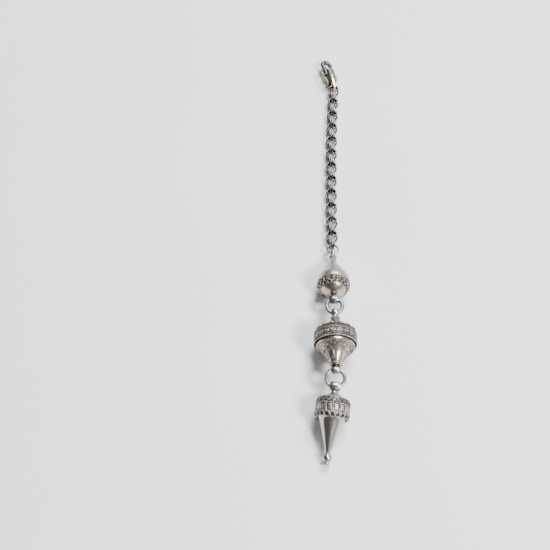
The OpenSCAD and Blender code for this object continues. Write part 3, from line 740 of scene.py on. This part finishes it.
def leaf(length, width, thick, at, bend):
    """A pointed leaf with a raised rib, bending over as it goes out along X."""
    bm = bmesh.new()
    rows = 8
    grid = []
    for i in range(rows + 1):
        t = i / rows
        half = width * sin(pi * min(1, 0.12 + 0.88 * t)) ** 0.8 * 0.5 + 0.02
        x, z = length * t, -bend * t * t
        row = []
        for j in range(5):
            s = (j - 2) / 2
            row.append((x, half * s, z + thick * (1 - s * s) * (1 - t * 0.5)))
        grid.append([bm.verts.new(at @ Vector(p)) for p in row]
                    + [bm.verts.new(at @ Vector((x, half * s, z - thick * 0.5)))
                       for s in (0.6, -0.6)])
    for a, b in zip(grid, grid[1:]):
        for j in range(7):
            n = (j + 1) % 7
            bm.faces.new((a[j], a[n], b[n], b[j])).smooth = True
    bm.faces.new(grid[0])
    bm.faces.new(grid[-1][::-1])
    return mesh_from(bm)


LEAVES = 8
calyx = leaf(2.5, 1.5, 0.3, Matrix.Translation((1.3, 0, 11.2))
             @ Matrix.Rotation(radians(40), 4, "Y"), 0.3)
ringed("wheel_calyx_leaves", "drum", IN_WHEEL, calyx, LEAVES, BRIGHT, "bright_silver")
rope("wheel_neck_rope", "drum", IN_WHEEL, 1.5, 11.45, 0.16)
ringed("wheel_neck_grains", "drum", IN_WHEEL, ball(0.36, (1.6, 0, 12.15)), 10, BRIGHT,
       "bright_silver")
ringed("wheel_calyx_grains", "drum", IN_WHEEL,
       ball(0.36, Matrix.Rotation(pi / LEAVES, 4, "Z") @ Vector((2.5, 0, 9.5))), LEAVES,
       BRIGHT, "bright_silver")

# recessed underside: a narrow groove, then a hollow-sided cone with curled wires
groove = [(7.5, 0.7), (7.5, 0.32), (6.8, 0.3), (6.8, 0.7)]
piece("wheel_groove_floor", "drum", lathe(groove), IN_WHEEL, OXIDE_GROUND_AND_HOLE_SHADE, "warm_silver",
      "wheel_base_ring")
HOLLOW_MIDDLE, HOLLOW_R = (16.03, -12.84), 14.7     # circle of the cone's hollow side
PETALS = 7
hollow_arc = arc(HOLLOW_MIDDLE, HOLLOW_R, 125.8, 164.1, 28)
cone_skin = [(7.3, 0.28), (7.44, 0.2), (7.46, -0.75), (7.43, -0.92)] + hollow_arc[1:]
cone_skin += [(1.9, -8.8), (0.66, -8.8)]
piece("wheel_hollow_cone", "drum", lathe(sheet(cone_skin, 0.45)), IN_WHEEL, WARM,
      "warm_silver", "wheel_lower_shell")


def cone_motif(width):
    """Two curls back to back on a stem, for one repeat of the underside."""
    lines = []
    for hand in (1, -1):
        lines.append([(hand * p[0], p[1], 0.12)
                      for p in ((0.15, 6.2), (0.25, 4.6), (0.75, 3.1), (1.45, 2.0))]
                     + [(hand * (1.15 + 0.8 * cos(a)), 1.55 - 0.75 * sin(a), 0.12)
                        for a in [radians(-20 + 32 * k) for k in range(1, 9)]])
        lines.append([(hand * (0.62 * width + 0.5 * cos(a) * hand), 4.2 + 0.55 * sin(a), 0.12)
                      for a in [radians(200 * hand + 30 * k) for k in range(8)]])
    return lines


wrapped("wheel_under_curls", "drum", IN_WHEEL, path(*cone_motif(2.4)), hollow_arc, PETALS, 4.9, 0.16,
        FILIGREE, "bright_silver")
rope("wheel_under_rope", "drum", IN_WHEEL, 7.05, -1.15, 0.12)
rope("wheel_foot_rope", "drum", IN_WHEEL, 2.12, -8.1, 0.14)


def on_hollow(angle, proud, turn):
    """A spot that stands proud of the hollow side, at an angle on its circle."""
    a, reach_r = radians(angle), HOLLOW_R - proud
    r, z = HOLLOW_MIDDLE[0] + reach_r * cos(a), HOLLOW_MIDDLE[1] + reach_r * sin(a)
    return Matrix.Rotation(radians(turn), 4, "Z") @ Vector((r, 0, z))


for label, angle, turn, size in (("a", 133, 26, 0.36), ("b", 146, 0, 0.3), ("c", 139, 0, 0.24)):
    ringed(f"wheel_under_grains_{label}", "drum", IN_WHEEL,
           ball(size, on_hollow(angle, 0.12, turn)), PETALS, BRIGHT, "bright_silver")
ring_spot = Matrix.Translation(on_hollow(154, 0.1, 0)) @ Matrix.Rotation(radians(156), 4, "Y")
ringed("wheel_under_rings", "drum", IN_WHEEL,
       join(torus(0.62, 0.17, ring_spot, 18, 6), ball(0.28, ring_spot @ Vector((0, 0, 0.1)))),
       PETALS, BRIGHT, "bright_silver")

# ---- drop --------------------------------------------------------------------------------

cap = [(0.72, -1.82), (1.25, -1.85), (1.4, -2.1), (1.42, -2.45), (1.75, -2.85), (2.4, -3.3),
       (3.3, -3.75), (4.4, -4.2), (5.2, -4.65), (5.6, -5.05), (5.8, -5.5), (5.9, -6.0),
       (6.0, -6.5), (6.02, -6.98)]
piece("drop_cap_sheet", "drop", lathe(sheet(cap, THIN_SHEET)), IN_DROP, SATIN, "satin_silver",
      "drop_cap")
upper_strip = [(5.66, -5.0), (5.95, -5.5), (6.12, -6.05), (6.3, -6.6), (6.2, -6.95)]
# The dark strip behind the zigzag is painted shade: it stands for the shadow seen through the
# gallery's open triangular notches.
piece("drop_upper_gallery_ground", "drop", lathe(sheet(upper_strip, 0.15)), IN_DROP, OXIDE_GROUND_AND_HOLE_SHADE,
      "satin_silver", "drop_upper_gallery")
TEETH, UPPER_R, LOWER_R = 20, 6.1, 6.3  # teeth of both galleries, and their mean radii
tooth_w = tau * UPPER_R / TEETH
zigzag = path([(tooth_w * (t - 0.5), 0.15 + 1.55 * (1 - abs(2 * t - 1)), 0.14)
               for t in (0, 0.25, 0.44, 0.5, 0.56, 0.75, 1.0)])
wrapped("drop_upper_zigzag", "drop", IN_DROP, zigzag, upper_strip, TEETH, UPPER_R,
        0.15)
rope("drop_upper_rope", "drop", IN_DROP, 5.6, -4.92, 0.12)
rope("drop_band_top_rope", "drop", IN_DROP, 6.25, -7.05, 0.15, BRIGHT)

band = [(BAND_R - 0.02, BAND_TOP), (BAND_R, BAND_TOP - 0.05), (BAND_R, BAND_FOOT + 0.05),
        (BAND_R - 0.02, BAND_FOOT)]
piece("drop_band_sheet", "drop", lathe(sheet(band, SHEET)), IN_DROP, SATIN, "bright_silver",
      "drop_band")
RIBS = 16


def pillow(radius, half_angle, top, foot, proud, steps=8):
    """A rounded panel that swells from the band."""
    bm = bmesh.new()
    front = []
    for i in range(steps + 1):
        row = []
        for j in range(steps + 1):
            s, t = 2 * i / steps - 1, 2 * j / steps - 1
            swell = max(0.0, (1 - s ** 4) * (1 - t ** 4)) ** 0.5
            a, r = half_angle * s, radius - 0.05 + proud * swell
            row.append(bm.verts.new((r * cos(a), r * sin(a), foot + (top - foot) * (t + 1) / 2)))
        front.append(row)
    for a, b in zip(front, front[1:]):
        for j in range(steps):
            bm.faces.new((a[j], a[j + 1], b[j + 1], b[j])).smooth = True
    rim = ([front[i][0] for i in range(steps + 1)] + front[-1][1:]
           + [front[i][-1] for i in range(steps - 1, -1, -1)] + front[0][-2:0:-1])
    back = bm.verts.new(((radius - 0.3), 0, (top + foot) / 2))
    for k, v in enumerate(rim):
        bm.faces.new((v, back, rim[(k + 1) % len(rim)]))
    return mesh_from(bm)


half_panel = pi / RIBS
panel = pillow(BAND_R, half_panel * 0.80, BAND_TOP - 0.25, BAND_FOOT + 0.25, 0.30)
panel.transform(Matrix.Rotation(half_panel, 4, "Z"))
ringed("drop_panels", "drop", IN_DROP, panel, RIBS, SATIN, "bright_silver")
rib = lathe([(0, BAND_TOP - 0.08), (0.16, BAND_TOP - 0.1), (0.2, BAND_TOP - 0.2),
             (0.2, BAND_FOOT + 0.2), (0.16, BAND_FOOT + 0.1), (0, BAND_FOOT + 0.08)], 10)
rib.transform(Matrix.Translation((BAND_R + 0.18, 0, 0)))
ringed("drop_upright_ribs", "drop", IN_DROP, rib, RIBS, FILIGREE, "bright_silver", "drop_ribs")
rope("drop_band_foot_rope", "drop", IN_DROP, 6.3, BAND_FOOT - 0.1, 0.15, BRIGHT)

lower_strip = [(6.2, -10.3), (6.4, -10.7), (6.2, -11.3), (5.95, -11.8)]
lower_track = [(6.25, -10.25), (6.42, -10.7), (6.25, -11.3), (5.85, -12.4), (5.7, -12.9)]
# The dark strip behind the arches is painted shade: it stands for the shadow seen through the open
# loops of the gallery.
piece("drop_lower_gallery_ground", "drop", lathe(sheet(lower_strip, 0.15)), IN_DROP, OXIDE_GROUND_AND_HOLE_SHADE,
      "satin_silver", "drop_lower_gallery")
tooth_w = tau * LOWER_R / TEETH
loop = [(tooth_w * 0.46 * s, 0.15 + d, 0.06) for s, d in (
    (-1.0, 0.0), (-0.96, 0.8), (-0.78, 1.5), (-0.42, 2.0), (0, 2.18), (0.42, 2.0), (0.78, 1.5),
    (0.96, 0.8), (1.0, 0.0))]
wrapped("drop_lower_arches", "drop", IN_DROP, path(loop), lower_track, TEETH, LOWER_R,
        0.16)
wrapped("drop_lower_zigzag", "drop", IN_DROP,
        path([(tooth_w * (t - 0.5), 0.1 + 1.05 * abs(2 * t - 1), 0.16)
              for t in (0, 0.25, 0.45, 0.5, 0.55, 0.75, 1.0)]), lower_track, TEETH,
        LOWER_R, 0.15)
ringed("drop_lower_grains", "drop", IN_DROP, ball(0.24, (6.0, 0, -12.25)), TEETH, BRIGHT,
       "bright_silver")

cone = [(5.7, -10.3), (5.75, -11.0), (5.45, -11.6), (4.95, -12.1), (4.66, -12.5)]
CONE_R, CONE_TIP_R, CONE_HEAD, HOLLOWING, CONE_STEPS = 4.66, 0.9, -12.5, 0.96, 12
cone += [(CONE_R - (CONE_R - CONE_TIP_R) * t ** HOLLOWING, CONE_HEAD + (CONE_FOOT - CONE_HEAD) * t)
         for t in [k / CONE_STEPS for k in range(1, CONE_STEPS + 1)]]
piece("drop_smooth_cone", "drop", lathe(sheet(cone, THIN_SHEET)), IN_DROP, SMOOTH, "warm_silver",
      "drop_cone")
TIP_R = 1.8
tip_z = CONE_FOOT - 1.6
finial = [(0.0, CONE_FOOT + 0.15), (0.85, CONE_FOOT + 0.1), (0.95, CONE_FOOT - 0.05)]
finial += arc((0, tip_z), TIP_R, 58, -54, 18) + [(0, tip_z - 1.46)]
piece("drop_tip_ball", "drop", lathe(finial, 48), IN_DROP, BRIGHT, "bright_silver",
      "drop_finial_ball")
foot = tip_z - 1.476
button = [(0, foot), (1.0, foot), (1.1, foot - 0.12), (1.1, foot - 0.8), (0.95, foot - 1.02),
          (0.6, foot - 1.1), (0, foot - 1.1)]
piece("drop_tip_button", "drop", lathe(button, 40), IN_DROP, SATIN, "bright_silver",
      "drop_finial_button")

# ---- finishes of the nodes that show as they are ----------------------------------------

SHOWN = {
    HOOK_GREY: ("clip_hook", "gate_lever"),
    GUNMETAL: ("upper_jump_ring",),
    RING_GREY: ("lower_jump_ring", "swivel_stud", "gate_pin"),
    BRIGHT: ("chain_end_ring", "wheel_axle"),
    WARM: ("swivel_collar", "swivel_bail"),
    STEEL: ("gate_spring",),
    PAPER: ("prayer_scroll",),
}
for finish, names in SHOWN.items():
    for name in names:
        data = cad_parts[name].data
        data.materials.clear()
        data.materials.append(finish)

# ---- table, light and camera -------------------------------------------------------------

TABLE_HALF = 1.6                        # metres, as the lights' places are
bm = bmesh.new()
bmesh.ops.create_grid(bm, x_segments=1, y_segments=1, size=TABLE_HALF)
floor = bpy.data.objects.new("table_top", mesh_from(bm))
bpy.context.collection.objects.link(floor)
floor.data.materials.append(table_top("pale_table"))
floor.location.z = -0.02 * MM


def soft_light(name, place, size, power, colour, aim=(0, -0.02, 0.005)):
    """A round lamp that faces the pendant."""
    light = bpy.data.lights.new(name, "AREA")
    light.shape, light.size, light.energy, light.color = "DISK", size, power, colour
    lamp = bpy.data.objects.new(name, light)
    lamp.location = place
    lamp.rotation_mode = "QUATERNION"
    lamp.rotation_quaternion = (Vector(aim) - Vector(place)).to_track_quat("-Z", "Y")
    bpy.context.collection.objects.link(lamp)


soft_light("key_from_right", (0.42, -0.36, 0.62), 0.2, 9.0, (1.0, 0.985, 0.96))
soft_light("wide_overhead", (0.25, 0.55, 0.95), 0.6, 22.0, (0.97, 0.985, 1.0))
world = bpy.data.worlds.new("studio")
world.use_nodes = True
g = Graph(world.node_tree)
g.tree.nodes.clear()
east, _, _ = g.parts(g.node("ShaderNodeTexCoord").out("Generated"))
glow = g.blend(east.band(-0.6, 1.0), (0.16, 0.165, 0.175), (0.80, 0.83, 0.86))
g.node("ShaderNodeOutputWorld", {"Surface": g.node("ShaderNodeBackground", {
    "Color": glow, "Strength": 1.0}).out()})
bpy.context.scene.world = world

AIM = Vector((-22.74, -15.55, 0)) * MM
CAMERA_AWAY, CAMERA_LEAN = 0.4, radians(30)         # metres, and from straight overhead
camera = bpy.data.objects.new("camera", bpy.data.cameras.new("camera"))
camera.data.sensor_width = 36
camera.data.lens = 64.93
camera.data.clip_start = 0.01
back = Vector((0, -sin(CAMERA_LEAN), cos(CAMERA_LEAN)))
camera.location = AIM + back * CAMERA_AWAY
camera.rotation_mode = "QUATERNION"
camera.rotation_quaternion = (-back).to_track_quat("-Z", "Y")
bpy.context.collection.objects.link(camera)
bpy.context.scene.camera = camera
